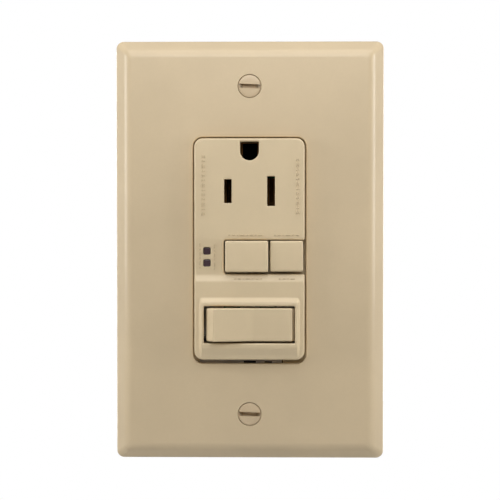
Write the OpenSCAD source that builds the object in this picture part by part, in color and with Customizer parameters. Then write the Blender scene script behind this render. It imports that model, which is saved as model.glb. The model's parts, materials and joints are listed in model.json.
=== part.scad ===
// Receptacle with ground-fault protection, a rocker switch and its wall plate.
// X runs to the right, Z up and Y into the wall; y = 0 is the face of the wall.

/* [Wall plate] */
// Width of the wall plate
plate_w = 79.4; // [76:0.1:84]
// Height of the wall plate
plate_h = 123.8; // [120:0.1:128]
// How far the plate stands off the wall
plate_depth = 6; // [5.4:0.1:6.4]
// Width of the opening for the device face
open_w = 33.3; // [33.1:0.1:33.6]
// Height of the opening for the device face
open_h = 66.8; // [66.6:0.1:67.2]
// Distance between the two plate screws
plate_screw_pitch = 96.84; // [96.6:0.02:97]
// Distance between the two box screws
box_screw_pitch = 83.3; // [83:0.1:83.6]

/* [Device face] */
// Width of the moulded face
face_w = 32.4; // [32:0.1:32.6]
// Height of the moulded face
face_h = 65.1; // [64.9:0.1:65.3]
// How far the face stands off the wall
face_depth = 8.2; // [7.8:0.1:8.6]
// Distance between the two blade slots
blade_pitch = 12.7; // [12.6:0.1:12.8]

/* [Switch] */
// Angle between the two positions of the rocker
rocker_swing = 12; // [8:1:12]

/* [Body] */
// Width of the rear housing
body_w = 42; // [42:0.1:43]
// Height of the rear housing
body_h = 68.6; // [68.4:0.1:70]
// Depth of the rear housing behind the wall face
body_depth = 33; // [33:0.5:36]

/* [Hidden] */
$fn = 48;

strap_t = 1.3;
sheet_t = 0.8;
plate_screw_r = 1.7;
plate_head_r = 3.35;
box_screw_r = 1.75;
box_neck_r = 1.4;
box_head_r = 3.6;
cover_top = 33;
cover_bottom = cover_top - face_h;
cover_mid = (cover_top + cover_bottom) / 2;
housing_screw_x = 13.4;
housing_screw_z = [30.2, -29.4];
housing_screw_r = 1.4;
ground_screw_x = -15;
ground_screw_y = 4.5;
ground_screw_r = 1.95;
ground_z = 29.3;
ground_r = 2.78;
rivet_x = 7.2;
rivet_r = 1;
slot_z = 17.5;
slot_x = blade_pitch / 2;
hot_slot = [2.25, 7.03];
neutral_slot = [2.32, 8.74];
led_x = -12.5;
led_z = [-0.1, -3.63];
led_half = 1.1;
pocket_x = -7.53;
pocket_z = [-6.9, 3.18];
pocket_floor = -3.6;
reset_x = -0.8;
reset_z = -1.7;
reset_pin_r = 1;
reset_stem_r = 1.6;
test_x = 10.9;
test_z = -1.6;
test_stem_r = 1.4;
pivot_y = -1.3;
rocker_r = 14.97;
rocker_z = [-26.6, -16.85];
well_z = [-27.2, -16.3];
rocker_mid_z = (rocker_z[0] + rocker_z[1]) / 2;
switch_z = [rocker_mid_z - 2, rocker_mid_z + 2];
tip_r = 1.5;
tip_y = [4.6, 9.4];
hub_r = 3;
pivot_pin_r = 1.5;
fulcrum_y = 11.8;
arm_y = [11.25, 11.75];
arm_z = 6.5;
arm_half_w = 1.3;
arm_hinge_x = 16.7;
arm_point_x = 8.2;
solenoid_y = 10.5;
plunger_r = 1.5;
plunger_end = 11;
tube_r = 2.2;
bobbin_x = [4.9, 15.4];
frame_t = 0.7;
core_z = 12.5;
core_r = 7.8;
wire_r = 0.9;
bay_z = [20, -1, -22];
bay_half = 5.5;
bay_y = [19.5, 31];
bay_screw_y = 25;
bay_screw_r = 1.85;
bay_hole_r = 1.9;
board_y = [16.5, 18.1];
lead_r = 0.28;

ivory = "#d8c8a8";
brass = "#c9a24a";
silver = "#c8c8c8";
steel = "#b9bcc0";
copper = "#b5653a";

// ---- shared shapes ----

// A 2-D outline in X and Z, extruded from y0 to y1
module slab(y0, y1) {
    rotate([90, 0, 0]) translate([0, 0, -y1]) linear_extrude(y1 - y0) children();
}

// A 2-D outline in X and Y, extruded from z0 to z1
module column(z0, z1) {
    translate([0, 0, z0]) linear_extrude(z1 - z0) children();
}

// A 2-D outline in Y and Z, extruded from x0 to x1
module beam(x0, x1) {
    translate([x0, 0, 0]) rotate([90, 0, 90]) linear_extrude(x1 - x0) children();
}

module block(x, y, z) {
    translate([x[0], y[0], z[0]]) cube([x[1] - x[0], y[1] - y[0], z[1] - z[0]]);
}

module rod_x(y, z, r, x0, x1) {
    translate([x0, y, z]) rotate([0, 90, 0]) cylinder(r = r, h = x1 - x0);
}

module rod_y(x, z, r, y0, y1) {
    translate([x, y1, z]) rotate([90, 0, 0]) cylinder(r = r, h = y1 - y0);
}

module cone_y(x, z, r0, r1, y0, y1) {
    translate([x, y1, z]) rotate([90, 0, 0]) cylinder(r1 = r1, r2 = r0, h = y1 - y0);
}

module rod_z(x, y, r, z0, z1) {
    translate([x, y, z0]) cylinder(r = r, h = z1 - z0);
}

module rounded_rect(w, h, r) {
    square([w - 2 * r, h], center = true);
    square([w, h - 2 * r], center = true);
    for (sx = [-1, 1], sz = [-1, 1])
        translate([sx * (w / 2 - r), sz * (h / 2 - r)]) circle(r);
}

module both_sides() {
    children();
    mirror([1, 0, 0]) children();
}

// Round wire swept along a helix that rises along Z
module coil_spring(r, wire_r, length, turns) {
    sides = 8;
    rings = 12 * turns;
    points = [for (i = [0:rings], k = [0:sides - 1])
        let (a = 360 * turns * i / rings, b = 360 * k / sides, s = r + wire_r * cos(b))
        [s * cos(a), s * sin(a), wire_r + (length - 2 * wire_r) * i / rings + wire_r * sin(b)]];
    walls = [for (i = [0:rings - 1], k = [0:sides - 1])
        let (n = (k + 1) % sides)
        [i * sides + k, (i + 1) * sides + k, (i + 1) * sides + n, i * sides + n]];
    ends = [
        [for (k = [0:sides - 1]) k],
        [for (k = [sides - 1:-1:0]) rings * sides + k]];
    polyhedron(points = points, faces = concat(walls, ends), convexity = 8);
}

// Turns the rocker and what it carries to its resting side
module on_rocker() {
    translate([0, pivot_y, 0]) rotate([0, 0, rocker_swing / 2]) translate([0, -pivot_y, 0])
        children();
}

module on_switch_arm() {
    translate([0, fulcrum_y, 0]) rotate([0, 0, -rocker_swing / 2])
        translate([0, -fulcrum_y, 0]) children();
}

// ---- wall plate ----

function edge_profile(half, side, bevel, depth) = [
    [-half, 0], [half, 0], [half, -side], [half - bevel, -depth],
    [bevel - half, -depth], [-half, -side]];

function swap(points) = [for (p = points) [p[1], p[0]]];

module plate_envelope(inset, side, bevel, depth, corner_r) {
    w = plate_w - 2 * inset;
    h = plate_h - 2 * inset;
    intersection() {
        slab(-depth, 0) rounded_rect(w, h, corner_r);
        column(-h / 2, h / 2) polygon(edge_profile(w / 2, side, bevel, depth));
        beam(-w / 2, w / 2) polygon(swap(edge_profile(h / 2, side, bevel, depth)));
    }
}

module wall_plate() {
    wall = 2.3;
    front = -plate_depth;
    hole_r = plate_screw_r + 0.3;
    sink_r = plate_head_r + 0.15;
    sink_rim = 0.7;
    notch_z = -43.6;
    notch_half = 1.5;
    color(ivory) difference() {
        plate_envelope(0, 1.4, 3.9, plate_depth, 1.7);
        translate([0, 0.01, 0]) plate_envelope(1.7, 0.9, 2.4, plate_depth - wall, 0.8);
        slab(front - 1, 0) rounded_rect(open_w, open_h, 2.75);
        for (s = [-1, 1]) {
            rod_y(0, s * plate_screw_pitch / 2, hole_r, front - 1, 0);
            cone_y(0, s * plate_screw_pitch / 2, sink_r, hole_r, front + sink_rim, front + 2);
            rod_y(0, s * plate_screw_pitch / 2, sink_r, front - 1, front + sink_rim);
        }
        block([plate_w / 2 - 0.5, plate_w / 2 + 1], [-0.9, 0.1],
            [notch_z - notch_half, notch_z + notch_half]);
    }
}

module plate_screws() {
    slot_turn = 2.7;
    slot_half = 0.55;
    front = -plate_depth;
    rim = 0.6;
    cone = 1.3;
    tip = 3.2;
    color(ivory) for (s = [-1, 1])
        translate([0, 0, s * plate_screw_pitch / 2]) difference() {
            union() {
                rod_y(0, 0, plate_head_r, front, front + rim);
                cone_y(0, 0, plate_head_r, plate_screw_r, front + rim, front + rim + cone);
                rod_y(0, 0, plate_screw_r, front + rim + cone, tip);
            }
            rotate([0, slot_turn, 0])
                block([-3.2, 3.2], [front - 1, front + 0.9], [-slot_half, slot_half]);
        }
}

// ---- strap and the screws that hold the device ----

module strap_outline() {
    yoke_w = 40.5;
    neck_w = 19;
    window_w = 30;
    ear = [41, 8.7];
    ear_z = 48.85;
    difference() {
        union() {
            translate([-yoke_w / 2, -31.6]) square([yoke_w, 64.6]);
            square([neck_w, 90], center = true);
            for (s = [-1, 1]) translate([0, s * ear_z]) rounded_rect(ear[0], ear[1], 2.5);
            translate([-19, -36]) square([12, 3.9]);
        }
        translate([-window_w / 2, -27.2]) square([window_w, 51.2]);
        translate([-5.6, -28.8]) square([11.2, 2]);
        translate([0, 29.4]) circle(4);
        for (s = [-1, 1]) {
            translate([0, s * plate_screw_pitch / 2]) circle(1.8);
            translate([0, s * box_screw_pitch / 2]) square([3.2, 3.9], center = true);
            for (e = [-1.6, 1.6]) translate([e, s * box_screw_pitch / 2]) circle(1.95);
            for (z = housing_screw_z) translate([s * housing_screw_x, z]) circle(1.6);
            translate([s * rivet_x, ground_z]) circle(rivet_r + 0.05);
        }
        translate([-1.9, -35]) square([3.7, 2]);
        translate([4.3, -35]) square([2.3, 1.9]);
    }
}

module mounting_strap() {
    color(steel) difference() {
        union() {
            slab(-strap_t, 0) strap_outline();
            block([ground_screw_x - 4, ground_screw_x + 4], [-strap_t, 8.5], [-36, -34.8]);
        }
        rod_z(ground_screw_x, ground_screw_y, ground_screw_r + 0.05, -37, -34);
    }
}

// Each screw is held by its thin neck, so the thread starts behind the retainer
module box_screws() {
    slot_half = 0.55;
    rim_y = -strap_t - 1.2;
    front_y = -strap_t - 1.8;
    thread_y = [1, 30.4];
    color(steel) for (s = [-1, 1])
        translate([0, 0, s * box_screw_pitch / 2]) difference() {
            union() {
                rod_y(0, 0, box_head_r, rim_y, -strap_t);
                cone_y(0, 0, box_head_r - 1, box_head_r, front_y, rim_y);
                rod_y(0, 0, box_neck_r, -strap_t, thread_y[0]);
                rod_y(0, 0, box_screw_r, thread_y[0], thread_y[1]);
            }
            block([-4, 4], [front_y - 0.2, front_y + 1], [-slot_half, slot_half]);
        }
}

module screw_retainers() {
    color("#6b5a48") for (s = [-1, 1]) slab(0, sheet_t)
        translate([0, s * box_screw_pitch / 2]) difference() {
            square([10, 8], center = true);
            circle(box_neck_r + 0.15);
        }
}

module ground_terminal_screw() {
    slot_half = 0.6;
    color("#2e7d46") difference() {
        union() {
            rod_z(ground_screw_x, ground_screw_y, 3.6, -38.2, -36);
            rod_z(ground_screw_x, ground_screw_y, ground_screw_r, -36, -33);
        }
        block([-19, -11], [ground_screw_y - slot_half, ground_screw_y + slot_half], [-39, -37.2]);
    }
}

// ---- moulded front cover ----

module ground_opening() {
    translate([0, ground_z]) circle(ground_r);
    translate([-ground_r, ground_z]) square([2 * ground_r, 2.76]);
}

module slot_openings() {
    translate([-slot_x, slot_z]) square(hot_slot, center = true);
    translate([slot_x, slot_z]) square(neutral_slot, center = true);
}

// Side view of the face: flat above, a shallow dip at the buttons, flat below
module cover_side_view() {
    polygon([
        [-strap_t, cover_bottom], [-strap_t, cover_top], [-face_depth + 0.6, cover_top],
        [-face_depth, cover_top - 0.6], [-face_depth, 3.7], [-face_depth + 0.7, -6.9],
        [-face_depth, -9.4], [-face_depth, -30.9], [-face_depth + 0.9, cover_bottom]]);
}

module rocker_bezel() {
    intersection() {
        beam(-15, 15) polygon([
            [-face_depth + 0.5, -30.9], [-face_depth, -30.9], [-face_depth - 1.1, -28.4],
            [-face_depth - 1.1, -15.4], [-face_depth, -13.8], [-face_depth + 0.5, -13.8]]);
        column(-32, -13) polygon([
            [-14.9, -face_depth + 0.5], [-14.9, -face_depth], [-14, -face_depth - 1.1],
            [14, -face_depth - 1.1], [14.9, -face_depth], [14.9, -face_depth + 0.5]]);
    }
}

module cover_shell() {
    difference() {
        union() {
            intersection() {
                beam(-face_w / 2, face_w / 2) cover_side_view();
                slab(-face_depth, -strap_t)
                    translate([0, cover_mid]) rounded_rect(face_w, face_h, 2.5);
            }
            rocker_bezel();
        }
        block([-14.6, 14.6], [-6.4, 0], [5.2, 31.4]);
        block([-14.6, -9], [-5.6, 0], [-13, 5.3]);
        block([-9.1, 14.6], [-2.4, 0], [-8.4, 5.3]);
        block([-14.6, 14.6], [-6.2, 0], [-14.8, -8.3]);
    }
}

// Thin rim that fills the gap behind the wall plate, open over the strap's neck
module cover_flange() {
    slab(-2.6, -strap_t) difference() {
        rounded_rect(open_w + 1.3, open_h + 1.6, 2.5);
        translate([0, cover_mid]) rounded_rect(face_w - 1, face_h - 1, 2);
        translate([-15, -36]) square([24.8, 36 + cover_bottom]);
    }
}

module rocker_well() {
    intersection() {
        rod_z(0, pivot_y, rocker_r + 0.6, well_z[0], well_z[1]);
        block([-14.6, 14.6], [-20, 20], well_z);
    }
}

module front_cover() {
    boss_y = -6.5;
    color(ivory) difference() {
        union() {
            difference() {
                cover_shell();
                rocker_well();
            }
            cover_flange();
            for (s = [-1, 1]) rod_y(s * housing_screw_x, housing_screw_z[0], 2.5, boss_y, -strap_t);
            slab(boss_y, -1.4) {
                translate([-slot_x, slot_z]) square([4.4, 9.4], center = true);
                translate([slot_x, slot_z]) square([4.4, 11], center = true);
                translate([0, ground_z]) circle(3.6);
            }
            block([-5, 5], [-4.6, 1.2], [well_z[0] - 1.5, well_z[0]]);
            block([-5, 5], [boss_y - 0.1, 1.2], [well_z[1], well_z[1] + 1.5]);
        }
        slab(-face_depth - 1, 0) {
            ground_opening();
            slot_openings();
        }
        block([pocket_x, face_w], [-face_depth - 1, pocket_floor], pocket_z);
        for (z = led_z)
            block([led_x - led_half, led_x + led_half], [-9, -4], [z - led_half, z + led_half]);
        rod_y(reset_x, reset_z, 2 * reset_stem_r, -5, 0);
        rod_y(test_x, test_z, test_stem_r + 0.4, -5, 0);
        rod_z(0, pivot_y, pivot_pin_r + 0.05, well_z[0] - 2, well_z[1] + 2);
        for (s = [-1, 1], z = housing_screw_z)
            rod_y(s * housing_screw_x, z, housing_screw_r + 0.05, -5, 0);
    }
}

module light_pipes() {
    half = led_half - 0.05;
    color("#4a3040") for (z = led_z)
        block([led_x - half, led_x + half], [-7.6, 14.3], [z - half, z + half]);
}

// ---- frame and housing behind the strap ----

module inner_frame() {
    color("#e8e4da") difference() {
        union() {
            slab(0.2, 1.8) translate([-18.8, -25.8]) square([37.6, 50.8]);
            both_sides() {
                block([2.9, 11], [1.8, 11], [11.8, 23.4]);
                for (z = [[9, 11.5], [-16.5, -13]]) block([16.6, 18.6], [1.8, board_y[0]], z);
            }
        }
        both_sides() {
            block([3.9, 10], [1.9, 12], [12.8, 22.4]);
            block([4.6, 8.1], [-1, 3], [12.8, 22.4]);
            block([5, 8.4], [8.6, 12], [11, 13.5]);
        }
        rod_y(reset_x, reset_z, reset_stem_r + 0.3, -1, 3);
        rod_y(test_x, test_z, test_stem_r + 0.4, -1, 3);
        for (z = led_z)
            block([led_x - led_half - 0.2, led_x + led_half + 0.2], [-1, 3],
                [z - led_half - 0.2, z + led_half + 0.2]);
        block([-8, 8], [-1, 3], [-27, -14]);
    }
}

module housing_shell() {
    wall = 2;
    difference() {
        slab(0, body_depth) rounded_rect(body_w, body_h, 2);
        slab(-1, body_depth - wall) rounded_rect(body_w - 2 * wall, body_h - 2 * wall, 1.2);
    }
    for (s = [-1, 1], z = housing_screw_z) rod_y(s * housing_screw_x, z, 3, 0, body_depth - 1);
    both_sides() for (z = bay_z)
        block([14.4, 20], [bay_y[0] - 1.2, body_depth - 1], [z - bay_half - 1.2, z + bay_half + 1.2]);
}

module rear_housing() {
    color("#3a3a3c") difference() {
        housing_shell();
        both_sides() for (z = bay_z) {
            block([15.9, 30], bay_y, [z - bay_half, z + bay_half]);
            block([15.9, 16.9], [bay_y[0] - 2, bay_y[0] + 1], [z - 1.7, z + 1.7]);
            block([16.9, 18.9], [bay_y[1] - 1, body_depth + 1], [z - 3, z + 3]);
            rod_x(bay_screw_y, z, bay_hole_r, 13, 17);
        }
        for (s = [-1, 1], z = housing_screw_z) {
            rod_y(s * housing_screw_x, z, housing_screw_r + 0.2, -1, body_depth + 1);
            rod_y(s * housing_screw_x, z, 3.05, body_depth - 2.4, body_depth + 1);
        }
        rod_z(ground_screw_x, ground_screw_y, 2.3, -body_h / 2 - 1, -body_h / 2 + 1.6);
    }
}

module housing_screws() {
    color(steel) for (s = [-1, 1], z = housing_screw_z)
        translate([s * housing_screw_x, 0, z]) difference() {
            union() {
                rod_y(0, 0, 2.8, body_depth - 2.4, body_depth - 0.6);
                rod_y(0, 0, housing_screw_r, -4.6, body_depth - 2.4);
            }
            block([-2, 2], [body_depth - 1.5, body_depth], [-0.4, 0.4]);
            block([-0.4, 0.4], [body_depth - 1.5, body_depth], [-2, 2]);
        }
}

// ---- receptacle contacts ----

// Double leaf that grips a blade, with a tail down to its fixed contact
module blade_contact() {
    half = 1.4;
    leaf_z = [13.6, 21.4];
    tail_y = [9.2, 9.2 + sheet_t];
    for (x = [slot_x - half, slot_x + half - sheet_t]) block([x, x + sheet_t], [2.2, 10.2], leaf_z);
    block([slot_x - half, slot_x + half], [10.2 - sheet_t, 10.2], leaf_z);
    block([5.2, 8.2], tail_y, [7, 14]);
    block([5.2, arm_point_x + 1.2], tail_y, [5, 8]);
}

module hot_contact() {
    color(brass) mirror([1, 0, 0]) blade_contact();
}

module neutral_contact() {
    color(silver) blade_contact();
}

module ground_contact() {
    color(brass) {
        slab(0, sheet_t) difference() {
            translate([-9.5, 26]) square([19, 6]);
            translate([-2.2, 26.7]) square([4.4, 5]);
            for (s = [-1, 1]) translate([s * rivet_x, ground_z]) circle(rivet_r + 0.05);
        }
        both_sides() block([2.2, 2.9], [sheet_t, 9], [26.8, 31.6]);
    }
}

module ground_contact_rivets() {
    head = 0.5;
    color(steel) both_sides() {
        rod_y(rivet_x, ground_z, rivet_r, -strap_t, sheet_t);
        rod_y(rivet_x, ground_z, rivet_r + 0.6, -strap_t - head, -strap_t);
        rod_y(rivet_x, ground_z, rivet_r + 0.6, sheet_t, sheet_t + head);
    }
}

// ---- wiring terminals ----

module terminal_plate(z) {
    difference() {
        union() {
            block([16, 16 + sheet_t], [20.3, 29.7], [z - 4.2, z + 4.2]);
            block([16, 16 + sheet_t], [board_y[1], 20.3], [z - 1.5, z + 1.5]);
        }
        rod_x(bay_screw_y, z, bay_hole_r, 15, 18);
    }
}

module line_hot_terminal() {
    color(brass) mirror([1, 0, 0]) terminal_plate(bay_z[0]);
}

module line_neutral_terminal() {
    color(silver) terminal_plate(bay_z[0]);
}

module load_hot_terminal() {
    color(brass) mirror([1, 0, 0]) terminal_plate(bay_z[1]);
}

module load_neutral_terminal() {
    color(silver) terminal_plate(bay_z[1]);
}

module terminal_screw(z) {
    difference() {
        union() {
            rod_x(bay_screw_y, z, 3.6, 19.3, 21);
            rod_x(bay_screw_y, z, bay_screw_r, 13.6, 19.3);
        }
        block([20.2, 22], [bay_screw_y - 0.5, bay_screw_y + 0.5], [z - 4, z + 4]);
    }
}

module brass_terminal_screws() {
    color(brass) mirror([1, 0, 0]) for (i = [0, 1]) terminal_screw(bay_z[i]);
}

module silver_terminal_screws() {
    color(silver) for (i = [0, 1]) terminal_screw(bay_z[i]);
}

module switch_terminal_screws() {
    color("#2b2b2d") both_sides() terminal_screw(bay_z[2]);
}

module clamp_plates() {
    color(steel) both_sides() for (z = bay_z) difference() {
        block([18.1, 19.3], [20.6, 29.4], [z - 4.4, z + 4.4]);
        rod_x(bay_screw_y, z, bay_hole_r, 17, 20);
    }
}

// ---- circuit board and what it carries ----

module circuit_board() {
    color("#2f6b3c") difference() {
        slab(board_y[0], board_y[1]) translate([-17.8, -25.8]) square([35.6, 52.4]);
        rod_y(reset_x, reset_z, 2, 15, 20);
        both_sides() block([15.6, 19], [15, 20], [-27, -18]);
    }
}

module solenoid_bobbin() {
    color("#ded9cc") difference() {
        union() {
            rod_x(solenoid_y, reset_z, tube_r, bobbin_x[0], bobbin_x[1]);
            for (x = [bobbin_x[0], bobbin_x[1] - frame_t]) rod_x(solenoid_y, reset_z, 4.5, x, x + frame_t);
        }
        rod_x(solenoid_y, reset_z, plunger_r + 0.1, 4, 16);
    }
}

module solenoid_coil() {
    color(copper) difference() {
        rod_x(solenoid_y, reset_z, 4.3, bobbin_x[0] + frame_t, bobbin_x[1] - frame_t);
        rod_x(solenoid_y, reset_z, tube_r, 5, 15);
    }
}

module solenoid_frame() {
    z = [reset_z - 4, reset_z + 4];
    y = [6.6, 15.9];
    color(steel) difference() {
        union() {
            for (x = [bobbin_x[0] - frame_t, bobbin_x[1]]) block([x, x + frame_t], y, z);
            block([bobbin_x[0] - frame_t, bobbin_x[1] + frame_t], [y[1] - frame_t, y[1]], z);
        }
        rod_x(solenoid_y, reset_z, plunger_r + 0.1, 4, 5.2);
    }
    color(steel) for (x = [5.5, 14.8])
        block([x - 0.6, x + 0.6], [y[1], board_y[0]], [reset_z - 1, reset_z + 1]);
}

module solenoid_plunger() {
    color(steel) rod_x(solenoid_y, reset_z, plunger_r, 3.65, plunger_end);
}

module plunger_spring() {
    color(steel) translate([plunger_end, solenoid_y, reset_z]) rotate([0, 90, 0])
        coil_spring(1.15, 0.2, bobbin_x[1] - plunger_end, 5);
}

module ring_core(y0, y1) {
    slab(y0, y1) translate([0, core_z]) difference() {
        circle(core_r);
        circle(core_r - 4);
    }
}

module sense_transformer() {
    color("#b98a3c") ring_core(19, 23.6);
}

module neutral_transformer() {
    color("#7a4a2c") ring_core(24, 28);
}

// Two hoops that pass through both cores and return outside them
module primary_conductors() {
    legs = [1.7, 10.2];
    color(copper) both_sides() {
        for (x = legs) rod_y(x, core_z, wire_r, board_y[1], 30);
        rod_x(29.4, core_z, wire_r, legs[0], legs[1]);
    }
}

module control_chip() {
    pin_pitch = 2.54;
    color("#222224") block([-5, 4.9], [18.7, 21.6], [-10.6, -4.4]);
    color(silver) for (i = [0:3], z = [-11.2, -4.4])
        block([-4.1 + i * pin_pitch, -3.6 + i * pin_pitch], [board_y[1], 20], [z, z + 0.6]);
}

module power_scr() {
    color("#2a2a2c") slab(20.4, 25) translate([9.6, -6]) difference() {
        circle(2.5);
        translate([-3, 1.3]) square([6, 3]);
    }
    color(silver) for (x = [8.3, 9.6, 10.9]) rod_y(x, -6.2, 0.25, board_y[1], 20.4);
}

module surge_varistor() {
    color("#c6722c") rod_x(24.4, -15, 4.8, 4, 7.6);
    color(silver) for (z = [-17.5, -12.5]) rod_y(5.8, z, 0.35, board_y[1], 21);
}

module filter_capacitor() {
    color("#5c2a2a") rod_y(-6.5, -16, 4.1, 18.4, 29);
    color(silver) for (x = [-7.8, -5.2]) rod_y(x, -16, 0.3, board_y[1], 18.4);
}

// A part with a round body and a lead at each end bent down to the board
module axial_part(x, z, r, half) {
    middle_y = board_y[1] + 1.5;
    rod_x(middle_y, z, r, x - half, x + half);
    for (s = [-1, 1]) {
        rod_x(middle_y, z, lead_r, x + s * (half + 0.7) - 0.75, x + s * (half + 0.7) + 0.75);
        rod_y(x + s * (half + 1.2), z, lead_r, board_y[1], middle_y + 0.1);
    }
}

module resistors() {
    color("#a9744f") {
        for (x = [-9.2, 9.2]) axial_part(x, 1.2, 1.1, 3);
        axial_part(0, 2, 1.1, 3);
    }
}

module diodes() {
    color("#1f1f22") for (x = [-6.5, 6.5]) axial_part(x, -23, 1.2, 2.4);
}

module indicator_leds() {
    color("#d9d2c0") for (z = led_z)
        block([led_x - 1, led_x + 1], [14.6, board_y[0]], [z - 0.9, z + 0.9]);
}

// ---- buttons ----

module button_cap(x, z, y) {
    chamfer = 0.8;
    intersection() {
        slab(y[0], y[1]) translate([(x[0] + x[1]) / 2, (z[0] + z[1]) / 2])
            rounded_rect(x[1] - x[0], z[1] - z[0], 0.6);
        column(z[0], z[1]) polygon([
            [x[0], y[1]], [x[0], y[0] + chamfer], [x[0] + chamfer, y[0]],
            [x[1] - chamfer, y[0]], [x[1], y[0] + chamfer], [x[1], y[1]]]);
        beam(x[0], x[1]) polygon([
            [y[1], z[0]], [y[0] + chamfer, z[0]], [y[0], z[0] + chamfer],
            [y[0], z[1] - chamfer], [y[0] + chamfer, z[1]], [y[1], z[1]]]);
    }
}

module reset_button() {
    color(ivory) difference() {
        union() {
            button_cap([-7.1, 5.5], [-6.25, 2.9], [-9.4, -6]);
            rod_y(reset_x, reset_z, reset_stem_r, -6, 1);
        }
        rod_y(reset_x, reset_z, reset_pin_r, -3, 2);
    }
}

module reset_pin() {
    color(steel) {
        rod_y(reset_x, reset_z, reset_pin_r, -3, 14.4);
        cone_y(reset_x, reset_z, reset_pin_r, 0.5, 14.4, 15.2);
    }
}

module reset_spring() {
    color(steel) translate([reset_x, 0.2, reset_z]) rotate([90, 0, 0])
        coil_spring(2.4, 0.25, 6.2, 5);
}

module test_button() {
    color(ivory) {
        button_cap([6.1, 15.72], [-6.1, 2.9], [-8.9, -5.6]);
        rod_y(test_x, test_z, test_stem_r, -5.6, 2.5);
    }
}

module test_contact_leaf() {
    half_w = 1.5;
    hinge = [16.6, 3];
    color(brass) {
        block([9.4, hinge[0]], [hinge[1] - 0.15, hinge[1] + 0.15], [test_z - half_w, test_z + half_w]);
        rod_z(hinge[0], hinge[1], 0.45, test_z - half_w, test_z + half_w);
    }
}

// ---- trip mechanism ----

module latch_plate() {
    color(steel) difference() {
        block([-5.6, 3.3], [9.9, 10.9], [-4.6, 1.2]);
        block([reset_x - 1.4, reset_x + 3], [9, 12], [reset_z - 1.4, reset_z + 1.4]);
    }
}

module contact_lifter() {
    color("#ece7dc") difference() {
        union() {
            block([-6.4, 3.2], [6.1, 13.85], [-6.6, 3.2]);
            block([-3, 3], [11.85, 13.85], [3, 5]);
            block([-12, 12], [11.85, 13.85], [4.6, 8]);
        }
        rod_y(reset_x, reset_z, 1.5, 5, 15);
        block([-8, 4], [9.6, 11.2], [-5, 1.6]);
        block([1.4, 4], [6, 12.4], [reset_z - 1.9, reset_z + 1.9]);
    }
}

module trip_spring() {
    color(steel) translate([reset_x, 6.1, reset_z]) rotate([90, 0, 0])
        coil_spring(2.5, 0.25, 4.3, 4);
}

module contact_arm() {
    reach = 9.5;
    block([arm_hinge_x - reach, arm_hinge_x], arm_y, [arm_z - arm_half_w, arm_z + arm_half_w]);
    rod_z(arm_hinge_x, (arm_y[0] + arm_y[1]) / 2, 0.6, arm_z - arm_half_w, arm_z + arm_half_w);
}

module hot_contact_arm() {
    color(copper) mirror([1, 0, 0]) contact_arm();
}

module neutral_contact_arm() {
    color(copper) contact_arm();
}

module moving_point() {
    rod_y(arm_point_x, arm_z, 1, arm_y[0] - 0.6, arm_y[0]);
}

module hot_moving_contact() {
    color(silver) mirror([1, 0, 0]) moving_point();
}

module neutral_moving_contact() {
    color(silver) moving_point();
}

module arm_posts() {
    color(brass) both_sides()
        block([arm_hinge_x - 0.7, arm_hinge_x + 0.7], [12.4, board_y[0]],
            [arm_z - arm_half_w, arm_z + arm_half_w]);
}

// ---- rocker switch ----

module rocker_section() {
    crown = -9.23;
    slope = 0.115;
    skirt = -7.2;
    difference() {
        intersection() {
            translate([0, pivot_y]) circle(rocker_r, $fn = 96);
            polygon([
                [-16, crown - 16 * slope], [0, crown], [16, crown - 16 * slope],
                [16, skirt], [-16, skirt]]);
        }
        polygon([
            [-11.2, crown + 1.5 - 11.2 * slope], [0, crown + 1.5],
            [11.2, crown + 1.5 - 11.2 * slope], [12.3, skirt + 1], [-12.3, skirt + 1]]);
    }
}

module rocker_paddle() {
    color(ivory) on_rocker() difference() {
        union() {
            column(rocker_z[0], rocker_z[1]) rocker_section();
            column(rocker_z[0] + 1, rocker_z[1] - 1) translate([-3.4, -8.8]) square([6.8, 7.5]);
            rod_z(0, pivot_y, hub_r, rocker_z[0] + 0.2, rocker_z[1] - 0.2);
            rod_z(0, pivot_y, pivot_pin_r, well_z[0] - 1.4, well_z[1] + 1.4);
            block([-2.6, 2.6], [pivot_y, 6.5], [rocker_mid_z - 2.6, rocker_mid_z + 2.6]);
        }
        rod_y(0, rocker_mid_z, tip_r + 0.1, 0.5, 8);
    }
}

// The blunt pin that the rocker drags along the contact arm
module switch_plunger() {
    color("#ece7dc") on_rocker() {
        rod_y(0, rocker_mid_z, tip_r, tip_y[0], tip_y[1]);
        cone_y(0, rocker_mid_z, tip_r, 0.7, tip_y[1], tip_y[1] + 0.7);
    }
}

module switch_spring() {
    color(steel) on_rocker() translate([0, tip_y[0], rocker_mid_z]) rotate([90, 0, 0])
        coil_spring(1.15, 0.22, tip_y[0] - 0.5, 5);
}

module switch_contact_arm() {
    color(copper) on_switch_arm() {
        block([-9, 9.2], [10.9, 11.5], switch_z);
        rod_z(0, fulcrum_y, 0.5, switch_z[0], switch_z[1]);
    }
}

module switch_moving_contact() {
    color(silver) on_switch_arm() rod_y(8, rocker_mid_z, 1, 11.5, 12.1);
}

module switch_common_terminal() {
    color(brass) {
        block([-0.6, 0.6], [12.6, 15.2], switch_z);
        block([-16.8, 0.6], [15.2 - sheet_t, 15.2], switch_z);
        block([-16.8, -16], [14.4, 20.4], [rocker_mid_z - 1.4, rocker_mid_z + 1.2]);
        mirror([1, 0, 0]) terminal_plate(bay_z[2]);
    }
}

module switch_load_terminal() {
    color(brass) {
        block([6.8, 16.8], [13.9, 13.9 + sheet_t], switch_z);
        block([16, 16.8], [13.9, 20.4], [rocker_mid_z - 1.4, rocker_mid_z + 1.2]);
        terminal_plate(bay_z[2]);
    }
}

module fixed_contact_points() {
    color(silver) {
        both_sides() rod_y(arm_point_x, arm_z, 1.1, 10, 10.6);
        rod_y(8, rocker_mid_z, 1.2, 13.3, 13.9);
    }
}

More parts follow.
